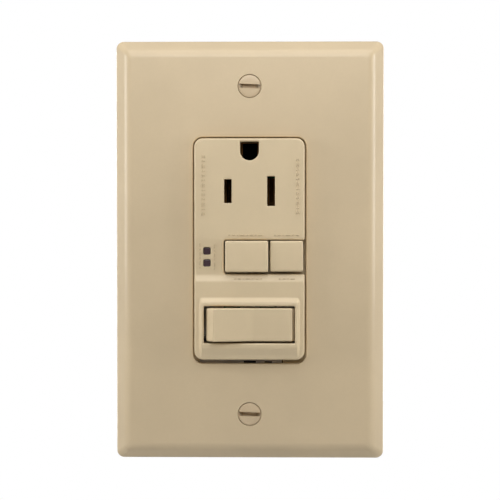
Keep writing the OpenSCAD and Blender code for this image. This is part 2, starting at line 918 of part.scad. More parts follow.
wall_plate();
plate_screws();
mounting_strap();
box_screws();
screw_retainers();
ground_terminal_screw();
front_cover();
light_pipes();
inner_frame();
rear_housing();
housing_screws();
hot_contact();
neutral_contact();
ground_contact();
ground_contact_rivets();
line_hot_terminal();
line_neutral_terminal();
load_hot_terminal();
load_neutral_terminal();
brass_terminal_screws();
silver_terminal_screws();
switch_terminal_screws();
clamp_plates();
circuit_board();
solenoid_bobbin();
solenoid_coil();
solenoid_frame();
solenoid_plunger();
plunger_spring();
sense_transformer();
neutral_transformer();
primary_conductors();
control_chip();
power_scr();
surge_varistor();
filter_capacitor();
resistors();
diodes();
indicator_leds();
reset_button();
reset_pin();
reset_spring();
test_button();
test_contact_leaf();
latch_plate();
contact_lifter();
trip_spring();
hot_contact_arm();
neutral_contact_arm();
hot_moving_contact();
neutral_moving_contact();
fixed_contact_points();
arm_posts();
rocker_paddle();
switch_plunger();
switch_spring();
switch_contact_arm();
switch_moving_contact();
switch_common_terminal();
switch_load_terminal();
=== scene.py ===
"""The looks of a ground-fault outlet with a rocker switch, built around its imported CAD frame.

Lengths in this file are millimetres in the frame's own axes (X right, Y into the wall, Z up);
to_mesh() turns them into metres.
"""
import json
import math

import bmesh
import bpy
import numpy as np
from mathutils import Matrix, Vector
from mathutils.geometry import delaunay_2d_cdt


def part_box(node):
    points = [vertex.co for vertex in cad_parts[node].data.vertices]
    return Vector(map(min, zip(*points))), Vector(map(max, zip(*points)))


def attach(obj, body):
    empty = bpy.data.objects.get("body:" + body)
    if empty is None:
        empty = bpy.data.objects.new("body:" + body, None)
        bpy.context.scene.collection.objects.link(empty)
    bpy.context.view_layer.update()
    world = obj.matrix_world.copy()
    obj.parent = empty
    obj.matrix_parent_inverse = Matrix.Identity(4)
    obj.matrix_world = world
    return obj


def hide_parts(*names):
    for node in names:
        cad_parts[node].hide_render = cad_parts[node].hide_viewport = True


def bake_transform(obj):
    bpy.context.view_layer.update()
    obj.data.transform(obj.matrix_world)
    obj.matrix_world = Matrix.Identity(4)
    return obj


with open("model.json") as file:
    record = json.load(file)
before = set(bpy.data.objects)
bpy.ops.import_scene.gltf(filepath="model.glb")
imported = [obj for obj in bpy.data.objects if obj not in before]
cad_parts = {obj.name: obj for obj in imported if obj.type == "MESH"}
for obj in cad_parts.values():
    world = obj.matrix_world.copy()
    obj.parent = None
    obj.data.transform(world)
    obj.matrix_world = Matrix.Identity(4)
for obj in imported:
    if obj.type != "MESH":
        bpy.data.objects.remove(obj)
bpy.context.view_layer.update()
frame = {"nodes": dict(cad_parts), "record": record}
MM = 0.001


def box_mm(node):
    """A CAD node's lowest and highest corners in millimetres."""
    low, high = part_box(node)
    return [c / MM for c in low], [c / MM for c in high]


# ---------------------------------------------------------------- outlines

def rounded(points, radii, steps=6):
    """A closed outline with each corner rounded to its radius."""
    loop = []
    count = len(points)
    for i, radius in enumerate(radii):
        corner = Vector(points[i])
        before = (Vector(points[i - 1]) - corner).normalized()
        after = (Vector(points[(i + 1) % count]) - corner).normalized()
        half = math.acos(max(-1, min(1, before.dot(after)))) / 2
        if radius < 1e-6:
            loop.append(tuple(corner))
            continue
        centre = corner + (before + after).normalized() * (radius / math.sin(half))
        start = corner + before * (radius / math.tan(half)) - centre
        turn = math.pi - 2 * half
        side = 1 if before.x * after.y - before.y * after.x < 0 else -1
        for k in range(steps + 1):
            angle = side * turn * k / steps
            c, s = math.cos(angle), math.sin(angle)
            loop.append((centre.x + c * start.x - s * start.y, centre.y + s * start.x + c * start.y))
    return loop


def rounded_box(x, z, radius, steps=6):
    corners = [(x[0], z[0]), (x[1], z[0]), (x[1], z[1]), (x[0], z[1])]
    return rounded(corners, [radius] * 4, steps)


def circle(cx, cz, radius, steps=40):
    turn = 2 * math.pi / steps
    return [(cx + radius * math.cos(turn * k), cz + radius * math.sin(turn * k)) for k in range(steps)]


def densify(loop, step):
    """The same outline with its long edges split."""
    out = []
    for i, a in enumerate(loop):
        b = loop[(i + 1) % len(loop)]
        parts = max(1, math.ceil(math.dist(a, b) / step))
        out += [(a[0] + (b[0] - a[0]) * k / parts, a[1] + (b[1] - a[1]) * k / parts) for k in range(parts)]
    return out


def grown(loop, distance):
    """The outline moved outward by a distance, or inward by a negative one."""
    out = []
    for i, p in enumerate(loop):
        a = Vector(p) - Vector(loop[i - 1])
        b = Vector(loop[(i + 1) % len(loop)]) - Vector(p)
        na = Vector((a.y, -a.x)).normalized()
        nb = Vector((b.y, -b.x)).normalized()
        normal = (na + nb).normalized()
        scale = distance / max(0.5, normal.dot(na))
        out.append((p[0] + normal.x * scale, p[1] + normal.y * scale))
    return out


def inside(points, loop):
    """Which points lie inside an outline."""
    p = np.asarray(points, float)
    a = np.asarray(loop, float)
    b = np.roll(a, -1, axis=0)
    x, z = p[:, :1], p[:, 1:]
    crosses = (a[:, 1] > z) != (b[:, 1] > z)
    rise = np.where(np.abs(b[:, 1] - a[:, 1]) < 1e-12, 1e-12, b[:, 1] - a[:, 1])
    left = x < (b[:, 0] - a[:, 0]) * (z - a[:, 1]) / rise + a[:, 0]
    return (crosses & left).sum(axis=1) % 2 == 1


def clear_of(points, loop, gap=0.03):
    """Which points are farther than this from every side of a closed outline."""
    points = np.array(points, float)
    free = np.ones(len(points), bool)
    for start, end in zip(loop, loop[1:] + loop[:1]):
        start, along = np.array(start), np.array(end) - np.array(start)
        share = np.clip((points - start) @ along / max(along @ along, 1e-12), 0, 1)
        free &= np.linalg.norm(points - start - share[:, None] * along, axis=1) > gap
    return free


def settle_slivers(points, faces, keep):
    """A flat triangle on a straight edge stays only if the face beyond its longest side stays."""
    sides, thin = {}, {}
    for number, face in enumerate(faces):
        pairs = list(zip(face, face[1:] + face[:1]))
        for a, b in pairs:
            sides.setdefault(frozenset((a, b)), []).append(number)
        lengths = [(points[a] - points[b]).length for a, b in pairs]
        a, b, c = (points[i] for i in face[:3])
        area = abs((b - a).cross(c - a)) / 2
        if area < 1e-4 * max(lengths):
            thin[number] = frozenset(pairs[lengths.index(max(lengths))])
    settled = {}
    for number in thin:
        path, at_face = [], number
        while at_face in thin and at_face not in path:
            path.append(at_face)
            beyond = [f for f in sides[thin[at_face]] if f != at_face]
            at_face = beyond[0] if beyond else None
        settled[number] = at_face is not None and at_face not in thin and bool(keep[at_face])
    for number, stays in settled.items():
        keep[number] = stays


def fillet(radius, steps=4):
    """Pairs of distance from an edge and drop below the surface, edge first."""
    angles = [math.pi / 2 * k / steps for k in range(steps + 1)]
    return [(radius * (1 - math.cos(a)), radius * (1 - math.sin(a))) for a in angles]


# ---------------------------------------------------------------- surfaces

MERGE = 2e-6  # metres: points this close become one when a skin is built
WELD = 5e-6  # metres: points this close become one after pieces are joined or cut


class Shell:
    """Collects the faces of one closed piece, in millimetres."""

    def __init__(self):
        self.points = []
        self.faces = []

    def add_ring(self, ring):
        start = len(self.points)
        self.points += ring
        return list(range(start, len(self.points)))

    def cap(self, ring):
        """One flat face over a ring."""
        self.faces.append(tuple(self.add_ring(ring)))

    def loft(self, rings):
        """Quads between neighbouring closed rings of equal length."""
        rows = [self.add_ring(r) for r in rings]
        for lower, upper in zip(rows, rows[1:]):
            count = len(lower)
            for i in range(count):
                j = (i + 1) % count
                self.faces.append((lower[i], lower[j], upper[j], upper[i]))

    def fill(self, outer, holes, height, grid=()):
        """A surface over the outline, less its holes. outer and holes are (rings, drops):
        rings start at the edge, and drops are how far each lies below the surface."""
        points, drops, edges = [], [], []
        for rings, ring_drops in [outer] + list(holes):
            for ring, drop in zip(rings, ring_drops):
                start = len(points)
                points += ring
                drops += [drop] * len(ring)
                edges += [(start + i, start + (i + 1) % len(ring)) for i in range(len(ring))]
        if len(grid):
            keep = inside(grid, outer[0][-1])
            for rings, _ in holes:
                keep &= ~inside(grid, rings[-1])
            for rings, _ in [outer] + list(holes):
                keep &= clear_of(grid, rings[-1])
            kept = [tuple(g) for g, k in zip(grid, keep) if k]
            points += kept
            drops += [0] * len(kept)
        found, _, faces, origin, _, _ = delaunay_2d_cdt(
            [Vector(p) for p in points], edges, [], 0, 1e-5)
        centres = [tuple(sum((found[i] for i in f), Vector((0, 0))) / len(f)) for f in faces]
        keep = inside(centres, outer[0][0])
        for rings, _ in holes:
            keep &= ~inside(centres, rings[0])
        settle_slivers(found, faces, keep)
        start = len(self.points)
        for p, first in zip(found, origin):
            drop = drops[first[0]] if first else 0
            self.points.append((p.x, height(p.x, p.y) + drop, p.y))
        self.faces += [tuple(start + i for i in f) for f, k in zip(faces, keep) if k]

    def to_mesh(self, name, turn=None):
        """The finished object: one closed skin with its faces pointing outward."""
        mesh = bpy.data.meshes.new(name)
        mesh.from_pydata([Vector(p) * MM for p in self.points], [], self.faces)
        work = bmesh.new()
        work.from_mesh(mesh)
        bmesh.ops.remove_doubles(work, verts=work.verts, dist=MERGE)
        loose = [v for v in work.verts if not v.link_faces]
        bmesh.ops.delete(work, geom=loose, context="VERTS")
        bmesh.ops.recalc_face_normals(work, faces=work.faces)
        if turn:
            pivot, angle = turn
            for v in work.verts:
                d = v.co - pivot
                c, s = math.cos(angle), math.sin(angle)
                v.co = pivot + Vector((c * d.x - s * d.y, s * d.x + c * d.y, d.z))
        work.to_mesh(mesh)
        work.free()
        piece = bpy.data.objects.new(name, mesh)
        bpy.context.scene.collection.objects.link(piece)
        return piece


def at(loop, y):
    """An outline in X and Z placed at a depth, or at a depth that varies over it."""
    if callable(y):
        return [(x, y(x, z), z) for x, z in loop]
    return [(x, y, z) for x, z in loop]


def prism(name, ring, low, high, turn=None):
    """A closed block with this outline in X and Z, between two depths."""
    shell = Shell()
    shell.loft([at(ring, low), at(ring, high)])
    for y in (low, high):
        shell.cap(at(ring, y))
    return shell.to_mesh(name, turn)


def apply_modifiers(piece):
    depsgraph = bpy.context.evaluated_depsgraph_get()
    mesh = bpy.data.meshes.new_from_object(piece.evaluated_get(depsgraph))
    piece.modifiers.clear()
    piece.data = mesh


def combine(piece, others, operation):
    """Joins other closed pieces to this one, or cuts them out of it."""
    for other in others:
        step = piece.modifiers.new("combine", "BOOLEAN")
        step.operation = operation
        step.solver = "EXACT"
        step.object = other
    apply_modifiers(piece)
    for other in others:
        bpy.data.objects.remove(other)


def close_skin(mesh):
    """Welds the slivers that cutting leaves and closes any pinhole, so the skin stays watertight."""
    work = bmesh.new()
    work.from_mesh(mesh)
    bmesh.ops.remove_doubles(work, verts=work.verts, dist=WELD)
    bmesh.ops.dissolve_degenerate(work, edges=work.edges, dist=WELD)
    open_edges = [e for e in work.edges if e.is_boundary]
    if open_edges:
        bmesh.ops.holes_fill(work, edges=open_edges, sides=0)
    bmesh.ops.triangulate(work, faces=[f for f in work.faces if len(f.verts) > 4])
    work.to_mesh(mesh)
    work.free()


def finish_surface(piece, sharp_deg=35):
    """Smooth shading that keeps flat faces flat and hard edges hard."""
    mesh = piece.data
    close_skin(mesh)
    mesh.shade_smooth()
    mesh.set_sharp_from_angle(angle=math.radians(sharp_deg))
    weighted = piece.modifiers.new("weighted", "WEIGHTED_NORMAL")
    weighted.keep_sharp = True
    weighted.weight = 90


def rod(name, axis, centre, radius, low, high, steps=40):
    """A closed round bar along Y or Z with lightly rounded rims."""
    rim = min(0.15, radius * 0.2)
    shell = Shell()
    profile = [(low, radius - rim), (low + rim, radius), (high - rim, radius), (high, radius - rim)]
    rings = []
    for along, r in profile:
        ring = circle(centre[0], centre[1], r, steps)
        rings.append([(x, along, z) if axis == "Y" else (x, z, along) for x, z in ring])
    shell.loft(rings)
    for end in (0, -1):
        shell.cap(rings[end])
    return shell.to_mesh(name)


# ---------------------------------------------------------------- materials

class Nodes:
    """Short calls for the nodes that the materials share."""

    def __init__(self, name):
        self.material = bpy.data.materials.new(name)
        self.material.use_nodes = True
        self.tree = self.material.node_tree
        self.shader = self.tree.nodes["Principled BSDF"]
        self.place = self.tree.nodes.new("ShaderNodeTexCoord").outputs["Object"]

    def link(self, a, b):
        self.tree.links.new(a, b)

    def noise(self, scale, detail=4, rough=0.55, stretch=None):
        node = self.tree.nodes.new("ShaderNodeTexNoise")
        node.inputs["Scale"].default_value = scale
        node.inputs["Detail"].default_value = detail
        node.inputs["Roughness"].default_value = rough
        place = self.place
        if stretch:
            mapping = self.tree.nodes.new("ShaderNodeMapping")
            mapping.inputs["Scale"].default_value = stretch
            self.link(place, mapping.inputs["Vector"])
            place = mapping.outputs["Vector"]
        self.link(place, node.inputs["Vector"])
        return node.outputs["Fac"]

    def spread(self, value, low, high, out_low, out_high):
        node = self.tree.nodes.new("ShaderNodeMapRange")
        for name, number in (("From Min", low), ("From Max", high), ("To Min", out_low),
                             ("To Max", out_high)):
            node.inputs[name].default_value = number
        self.link(value, node.inputs["Value"])
        return node.outputs["Result"]

    def mix(self, value, first, second):
        node = self.tree.nodes.new("ShaderNodeMix")
        node.data_type = "RGBA"
        self.link(value, node.inputs["Factor"])
        for socket, colour in ((node.inputs[6], first), (node.inputs[7], second)):
            if isinstance(colour, tuple):
                socket.default_value = (*colour, 1)
            else:
                self.link(colour, socket)
        return node.outputs[2]

    def bump(self, heights, strength, distance):
        """Bumps from one or more heights, each laid over the last."""
        normal = None
        for height in heights:
            node = self.tree.nodes.new("ShaderNodeBump")
            node.inputs["Strength"].default_value = strength
            node.inputs["Distance"].default_value = distance
            self.link(height, node.inputs["Height"])
            if normal:
                self.link(normal, node.inputs["Normal"])
            normal = node.outputs["Normal"]
        self.link(normal, self.shader.inputs["Normal"])

    def worn_edges(self, radius):
        """1 where the surface bends sharply, 0 where it's flat."""
        bevel = self.tree.nodes.new("ShaderNodeBevel")
        bevel.samples = 4
        bevel.inputs["Radius"].default_value = radius
        plain = self.tree.nodes.new("ShaderNodeNewGeometry").outputs["Normal"]
        dot = self.tree.nodes.new("ShaderNodeVectorMath")
        dot.operation = "DOT_PRODUCT"
        self.link(bevel.outputs["Normal"], dot.inputs[0])
        self.link(plain, dot.inputs[1])
        return self.spread(dot.outputs["Value"], 0.995, 0.93, 0, 1)


def plastic(name, colour, rough, grain=0.00002, tint=0.03, coat=0.0):
    """Moulded plastic: a fine mould grain, faint flow clouds and slightly uneven gloss."""
    n = Nodes(name)
    darker = tuple(c * (1 - tint) for c in colour)
    lighter = tuple(min(1, c * (1 + tint)) for c in colour)
    clouds = n.noise(45, 3)
    specks = n.noise(1400, 2)
    base = n.mix(n.spread(clouds, 0.35, 0.65, 0, 1), darker, lighter)
    base = n.mix(n.spread(specks, 0.3, 0.75, 0, 0.16), base, tuple(c * 0.9 for c in colour))
    n.link(base, n.shader.inputs["Base Color"])
    n.link(n.spread(n.noise(220, 3), 0.3, 0.7, rough - 0.04, rough + 0.05), n.shader.inputs["Roughness"])
    n.shader.inputs["IOR"].default_value = 1.5
    n.shader.inputs["Coat Weight"].default_value = coat
    n.shader.inputs["Coat Roughness"].default_value = 0.15
    n.bump([n.noise(2600, 2), n.noise(300, 2)], 0.25, grain)
    return n.material


def metal(name, colour, rough, stretch=(1, 1, 30), tarnish=0.25, scratch=0.00003, bare=1.0):
    """Plated or rolled metal: rolling lines, blotches of tarnish and brighter worn edges."""
    n = Nodes(name)
    dull = tuple(c * (1 - tarnish) for c in colour)
    lines = n.noise(240, 5, 0.6, stretch)
    blotches = n.noise(90, 4)
    base = n.mix(n.spread(blotches, 0.42, 0.68, 0, 0.8), colour, dull)
    base = n.mix(n.spread(lines, 0.35, 0.7, 0, 0.22), base, tuple(c * 0.7 for c in colour))
    base = n.mix(n.worn_edges(0.00025), base, tuple(min(1, c * 1.15 + 0.04) for c in colour))
    n.link(base, n.shader.inputs["Base Color"])
    n.shader.inputs["Metallic"].default_value = bare
    n.link(n.spread(lines, 0.3, 0.7, rough - 0.07, rough + 0.1), n.shader.inputs["Roughness"])
    n.bump([lines], 0.3, scratch)
    return n.material


def paint(name, colour, rough):
    """Enamel over metal: orange peel and a little dust in the low spots."""
    n = Nodes(name)
    base = n.mix(n.spread(n.noise(120, 4), 0.4, 0.7, 0, 0.5), colour, tuple(c * 0.9 for c in colour))
    n.link(base, n.shader.inputs["Base Color"])
    n.link(n.spread(n.noise(500, 2), 0.3, 0.7, rough - 0.03, rough + 0.05), n.shader.inputs["Roughness"])
    n.bump([n.noise(900, 2)], 0.2, 0.00002)
    return n.material


def winding(name, colour, groove_shade_colour, pitch, along):
    """Varnished wire wound side by side, with painted shade in the grooves between turns."""
    n = Nodes(name)
    wave = n.tree.nodes.new("ShaderNodeTexWave")
    wave.bands_direction = along
    wave.inputs["Scale"].default_value = math.pi / (10 * pitch)
    wave.inputs["Distortion"].default_value = 0.4
    wave.inputs["Detail Scale"].default_value = 300
    n.link(n.place, wave.inputs["Vector"])
    # The darker colour in the wave's low bands paints the shade in the grooves between turns.
    base = n.mix(n.spread(wave.outputs["Fac"], 0.1, 0.5, 0, 1), groove_shade_colour, colour)
    n.link(base, n.shader.inputs["Base Color"])
    n.shader.inputs["Metallic"].default_value = 0.5
    n.link(n.spread(n.noise(400, 2), 0.3, 0.7, 0.25, 0.4), n.shader.inputs["Roughness"])
    n.bump([wave.outputs["Fac"]], 0.6, 0.0001)
    return n.material


def board_material(name):
    """Green solder mask over copper tracks on glass weave."""
    n = Nodes(name)
    tracks = n.tree.nodes.new("ShaderNodeTexVoronoi")
    tracks.distance = "CHEBYCHEV"
    tracks.feature = "F1"
    tracks.inputs["Scale"].default_value = 260
    n.link(n.place, tracks.inputs["Vector"])
    mask = n.spread(tracks.outputs["Distance"], 0.36, 0.4, 0, 1)
    base = n.mix(mask, (0.02, 0.12, 0.045), (0.035, 0.2, 0.07))
    n.link(base, n.shader.inputs["Base Color"])
    n.link(n.spread(n.noise(700, 2), 0.3, 0.7, 0.3, 0.42), n.shader.inputs["Roughness"])
    n.bump([mask], 0.4, 0.00003)
    return n.material


IVORY = (0.615, 0.489, 0.316)
MATERIALS = {
    "plate_plastic": plastic("plate_plastic", IVORY, 0.36),
    "face_plastic": plastic("face_plastic", (0.66, 0.53, 0.34), 0.4),
    # The marks are coloured darker than the face to paint the shade of their low relief.
    "mark_plastic_painted_shade": plastic("mark_plastic_painted_shade", (0.56, 0.445, 0.28), 0.42),
    "painted_screw": paint("painted_screw", (0.58, 0.45, 0.29), 0.34),
    "zinc_steel": metal("zinc_steel", (0.52, 0.5, 0.48), 0.42, bare=0.65),
    # The strap's steel is paler and less metallic than zinc_steel: its colour paints the light the strap
    # catches through the plate's bottom gap.
    "strap_steel_painted_light": metal("strap_steel_painted_light", (0.72, 0.65, 0.6), 0.45, bare=0.3),
    "black_plastic": plastic("black_plastic", (0.03, 0.03, 0.033), 0.5, 0.00004, 0.15),
    "white_nylon": plastic("white_nylon", (0.72, 0.69, 0.62), 0.45, 0.00003),
    "brass": metal("brass", (0.78, 0.56, 0.24), 0.3, (30, 1, 1)),
    # The contacts' brass is darkened to paint the shade inside the plug slots and the ground hole.
    "contact_painted_shade": metal("contact_painted_shade", (0.2, 0.1, 0.035), 0.6, (30, 1, 1)),
    "silver_plate": metal("silver_plate", (0.70, 0.69, 0.66), 0.27, (30, 1, 1), 0.15),
    "copper": metal("copper", (0.72, 0.36, 0.22), 0.3, (30, 1, 1)),
    "enamelled_wire": winding("enamelled_wire", (0.5, 0.16, 0.06), (0.12, 0.03, 0.01), 0.0003, "X"),
    "green_screw": paint("green_screw", (0.03, 0.24, 0.09), 0.35),
    "fibre_washer": plastic("fibre_washer", (0.26, 0.18, 0.11), 0.8, 0.00006, 0.2),
    "smoked_lens": plastic("smoked_lens", (0.05, 0.022, 0.03), 0.22, 0.00001, 0.1, 0.4),
    "led_body": plastic("led_body", (0.7, 0.68, 0.6), 0.2, 0.00001, 0.05),
    "board_laminate": board_material("board_laminate"),
    "ferrite_tape": winding("ferrite_tape", (0.5, 0.33, 0.1), (0.3, 0.18, 0.05), 0.0008, "Z"),
    "chip_epoxy": plastic("chip_epoxy", (0.025, 0.025, 0.028), 0.5, 0.00003, 0.2),
    "varistor_coat": plastic("varistor_coat", (0.6, 0.22, 0.04), 0.35, 0.00005, 0.1),
    "capacitor_sleeve": plastic("capacitor_sleeve", (0.2, 0.04, 0.03), 0.3, 0.00001, 0.1),
    "resistor_body": plastic("resistor_body", (0.5, 0.33, 0.18), 0.4, 0.00003, 0.1),
}


def dress(piece, material):
    piece.data.materials.clear()
    piece.data.materials.append(MATERIALS[material])


def stand_for(piece, node, body, material):
    """Hands a finished piece over: its body, its CAD node and its material."""
    dress(piece, material)
    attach(piece, body)
    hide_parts(node)


# ---------------------------------------------------------------- wall plate

PLATE_LOW, PLATE_HIGH = box_mm("wall_plate")
PLATE_FRONT = PLATE_LOW[1]
PLATE_INNER = -3.7
HEAD_R = 3.35
SCREW_Z = box_mm("plate_screws")[1][2] - HEAD_R
OPEN_X = 16.65
OPEN_Z = 33.4
COUNTERSINK_R = 3.5
SCREW_HOLE_R = 2.0
THREAD_PITCH = 0.794  # 32 turns in an inch


def plate_ring(inset, radius, steps=8):
    return rounded_box((PLATE_LOW[0] + inset, PLATE_HIGH[0] - inset),
                       (PLATE_LOW[2] + inset, PLATE_HIGH[2] - inset), radius, steps)


def make_wall_plate():
    """A dished plate with one bevel, a rounded opening, two countersinks and a notch in its edge."""
    shell = Shell()
    bevel = 3.4
    # Distance in from the rim and depth: up the side, over the bevel and onto the front
    corners = [(0, 0), (0, -1.4), (bevel, PLATE_FRONT), (bevel + 5, PLATE_FRONT)]
    edge = rounded(corners, [0, 1.2, 3.4, 0], 8)[:-1]
    rings = [plate_ring(inset, max(0.8, 2.2 - 0.2 * inset)) for inset, _ in edge]
    back = [(4.1, PLATE_INNER, 0.4), (1.7, -0.9, 0.5), (1.7, 0, 0.5)]
    back_rings = [plate_ring(inset, radius) for inset, _, radius in back]
    shell.loft([at(ring, y) for ring, (_, y, _) in zip(back_rings, back)] + [
        at(ring, y) for ring, (_, y) in zip(rings, edge)])
    opening = densify(rounded_box((-OPEN_X, OPEN_X), (-OPEN_Z, OPEN_Z), 2.75, 8), 4)
    lip_r, sink_lip_r = 0.35, 0.15
    lip = fillet(lip_r)
    sink_lip = fillet(sink_lip_r, 2)
    holes = [([grown(opening, d) for d, _ in lip], [d for _, d in lip])]
    for side in (-1, 1):
        sink = circle(0, side * SCREW_Z, COUNTERSINK_R)
        holes.append(([grown(sink, d) for d, _ in sink_lip], [d for _, d in sink_lip]))
    shell.fill(([rings[-1]], [0]), holes, lambda x, z: PLATE_FRONT)
    shell.loft([at(opening, PLATE_FRONT + lip_r), at(opening, PLATE_INNER)])
    sink_walls = ((COUNTERSINK_R, PLATE_FRONT + sink_lip_r), (COUNTERSINK_R, PLATE_FRONT + 0.7),
                  (SCREW_HOLE_R, PLATE_FRONT + 2.0), (SCREW_HOLE_R, PLATE_INNER))
    for side in (-1, 1):
        shell.loft([at(circle(0, side * SCREW_Z, radius), y) for radius, y in sink_walls])
    shell.fill(([back_rings[0]], [0]),
               [([opening], [0])] + [([circle(0, s * SCREW_Z, SCREW_HOLE_R)], [0]) for s in (-1, 1)],
               lambda x, z: PLATE_INNER)
    plate = shell.to_mesh("wall_plate_moulding")
    notch_z = (-45.1, -42.1)
    notch = rounded_box((PLATE_HIGH[0] - 0.5, PLATE_HIGH[0] + 2), notch_z, 0.3, 3)
    combine(plate, [prism("notch", notch, -1.5, 1)], "DIFFERENCE")
    finish_surface(plate)
    stand_for(plate, "wall_plate", "housing", "plate_plastic")


def make_plate_screws():
    """Oval-head screws with a straight slot and a rolled thread."""
    low, high = box_mm("plate_screws")
    front, neck = low[1], low[1] + 1.9
    profile = [(0, front + 0.02), (2.2, front + 0.03), (3.0, front + 0.08), (3.25, front + 0.16),
               (HEAD_R, front + 0.32), (HEAD_R, front + 0.6), (1.75, neck), (0, neck)]
    slot_turn = math.radians(-2.7)
    reach, half, depth = 3.1, 0.62, 1.6
    c, s = math.cos(slot_turn), math.sin(slot_turn)
    for side, name in ((-1, "lower"), (1, "upper")):
        centre = side * SCREW_Z
        head = Shell()
        head.loft([at(circle(0, centre, r, 64), y) for r, y in profile])
        screw = head.to_mesh(f"plate_screw_{name}")
        thread = threaded_rod("thread", (0, centre), 1.68, 1.4, THREAD_PITCH, front + 1.5, high[1])
        ring = [(c * x - s * z, centre + s * x + c * z)
                for x, z in ((-reach, -half), (reach, -half), (reach, half), (-reach, half))]
        combine(screw, [prism("slot", ring, front - 1, front + depth)], "DIFFERENCE")
        combine(screw, [thread], "UNION")
        finish_surface(screw, 30)
        stand_for(screw, "plate_screws", "housing", "painted_screw")


def threaded_rod(name, centre, crest, root, pitch, low, high, around=28, rows=8):
    """A round bar whose surface rises and falls along a helix, with a chamfered tip."""
    shell = Shell()
    chamfer, chamfer_drop = 0.7, 0.15
    count = round((high - low) / pitch * rows)
    rings = []
    for i in range(count + 1):
        y = low + (high - low) * i / count
        ring = []
        tip = min(1, (high - y) / chamfer)
        for k in range(around):
            angle = 2 * math.pi * k / around
            phase = ((y - low) / pitch - k / around) % 1
            wave = 1 - abs(2 * phase - 1)
            r = root + (crest - root) * min(1, 1.3 * wave)
            r = min(r, root - chamfer_drop + (crest - root + chamfer_drop) * tip)
            ring.append((centre[0] + r * math.cos(angle), y, centre[1] + r * math.sin(angle)))
        rings.append(ring)
    shell.loft(rings)
    for end in (0, -1):
        shell.cap(rings[end])
    return shell.to_mesh(name)


# ---------------------------------------------------------------- front cover

COVER_LOW, COVER_HIGH = box_mm("front_cover")
FACE_Y = -8.2
FACE_X = (-16.2, 16.2)
FACE_Z = (-32.1, 33.0)
FACE_BACK = -1.3
BEZEL_RISE = COVER_LOW[1] - FACE_Y
BEZEL_X = 14.9
BEZEL_Z = (-31.75, -13.7)
DIP_Z = (-6.9, 3.7)
PIVOT_Y = -1.3
PIVOT = Vector((0, PIVOT_Y, 0)) * MM
PADDLE_LOW, PADDLE_HIGH = box_mm("rocker_paddle")
PADDLE_R = 14.97
PADDLE_Z = (-26.6, -16.85)
ROCKER_GAP = 0.42
WELL_Z = (-27.2, -16.3)
WELL_LIP = 0.4
POCKET_X = -7.53
POCKET_Z = (-6.9, 3.18)
POCKET_FLOOR = -3.6
LED_X = -12.5
LED_Z = (-0.1, -3.63)
SLOT_X, SLOT_Z = 6.35, 17.5
GROUND_Z, GROUND_R, GROUND_TOP = 29.3, 2.78, 32.06
RESET_STEM = (-0.8, -1.7)
TEST_STEM = (10.9, -1.6)


def clamp(t):
    return max(0.0, min(1.0, t))


def smooth_step(t):
    t = clamp(t)
    return t * t * (3 - 2 * t)


def face_height(x, z):
    """Depth of the cover's front surface: a shallow dip at the buttons and a raised bezel."""
    y = FACE_Y
    low, high = DIP_Z
    dip, run_out = 0.7, 2.5
    if low <= z <= high:
        y += dip * (high - z) / (high - low)
    elif low - run_out <= z < low:
        y += dip * smooth_step((z - low + run_out) / run_out)
    side_slope, top_slope, bottom_slope = 0.95, 1.7, 3.75
    side = 1 - clamp((BEZEL_X - abs(x)) / side_slope)
    top = 1 - clamp((BEZEL_Z[1] - z) / top_slope)
    bottom = 1 - clamp((z - BEZEL_Z[0]) / bottom_slope)
    reach = 1 - min(1.0, math.hypot(side, max(top, bottom)))
    return y + BEZEL_RISE * smooth_step(reach)


def slot_outline(cx, width, height):
    x = (cx - width / 2, cx + width / 2)
    z = (SLOT_Z - height / 2, SLOT_Z + height / 2)
    return densify(rounded_box(x, z, 0.18, 3), 1.5)


def ground_outline():
    arc = [(GROUND_R * math.cos(a), GROUND_Z + GROUND_R * math.sin(a))
           for a in [math.pi + math.pi * k / 24 for k in range(25)]]
    top = rounded([(GROUND_R, GROUND_Z), (GROUND_R, GROUND_TOP), (-GROUND_R, GROUND_TOP),
                   (-GROUND_R, GROUND_Z)], [0, 0.25, 0.25, 0], 3)
    return densify(arc + top[1:-1], 1)


def well_half_width(y):
    """Half the well's width at a depth: the circle that the rocker's ends sweep, and a gap."""
    reach = PADDLE_R + ROCKER_GAP
    return min(14.6, math.sqrt(reach ** 2 - (y - PIVOT_Y) ** 2))


def cover_outline():
    """The face's outline, with the button pocket cut in from its right side."""
    left, right = FACE_X
    low, high = FACE_Z
    outline = rounded(
        [(left, low), (right, low), (right, POCKET_Z[0]), (POCKET_X, POCKET_Z[0]), (POCKET_X, POCKET_Z[1]),
         (right, POCKET_Z[1]), (right, high), (left, high)],
        [2.5, 2.5, 0.5, 0.7, 0.7, 0.5, 2.5, 2.5], 8)
    return densify(outline, 0.7)


def cover_holes():
    """Each hole's outline and the radius of its rounded rim, with the rocker's well last."""
    slots = [(slot_outline(-SLOT_X, 2.25, 7.03), 0.22), (slot_outline(SLOT_X, 2.32, 8.74), 0.22)]
    windows = [(densify(rounded_box((LED_X - 1.1, LED_X + 1.1), (z - 1.1, z + 1.1), 0.45, 4), 1), 0.12)
               for z in LED_Z]
    well_x = well_half_width(COVER_LOW[1] + WELL_LIP)
    well = densify(rounded_box((-well_x, well_x), WELL_Z, 0.35, 4), 0.8)
    return slots + [(ground_outline(), 0.3)] + windows + [(well, WELL_LIP)]


def face_grid():
    """Points that carry the face's relief: close together over the bezel, sparse on the flat top."""
    fine = [round(15.1 - 0.15 * k, 2) for k in range(10)]
    columns = sorted({s * c for c in fine + [15.5, 13, 12, 10.5, 9, 7.5, 6, 4.5, 3, 1.5, 0] for s in (-1, 1)})
    band = [5, 4.2, 3.8, 3.7, 3.6, 3.0, 1.5, 0, -1.9, -4, -6, -6.75, -6.9, -7.1] + [
        -7.4 - 0.25 * k for k in range(10)] + [-10.5, -11.8, -13, -13.5]
    bezel = [-13.7 - 0.2 * k for k in range(90)]
    grid = [(x, z) for z in band + bezel for x in columns]
    return grid + [(x, z) for x in np.arange(-15, 15.1, 3) for z in np.arange(7, 32, 3)]


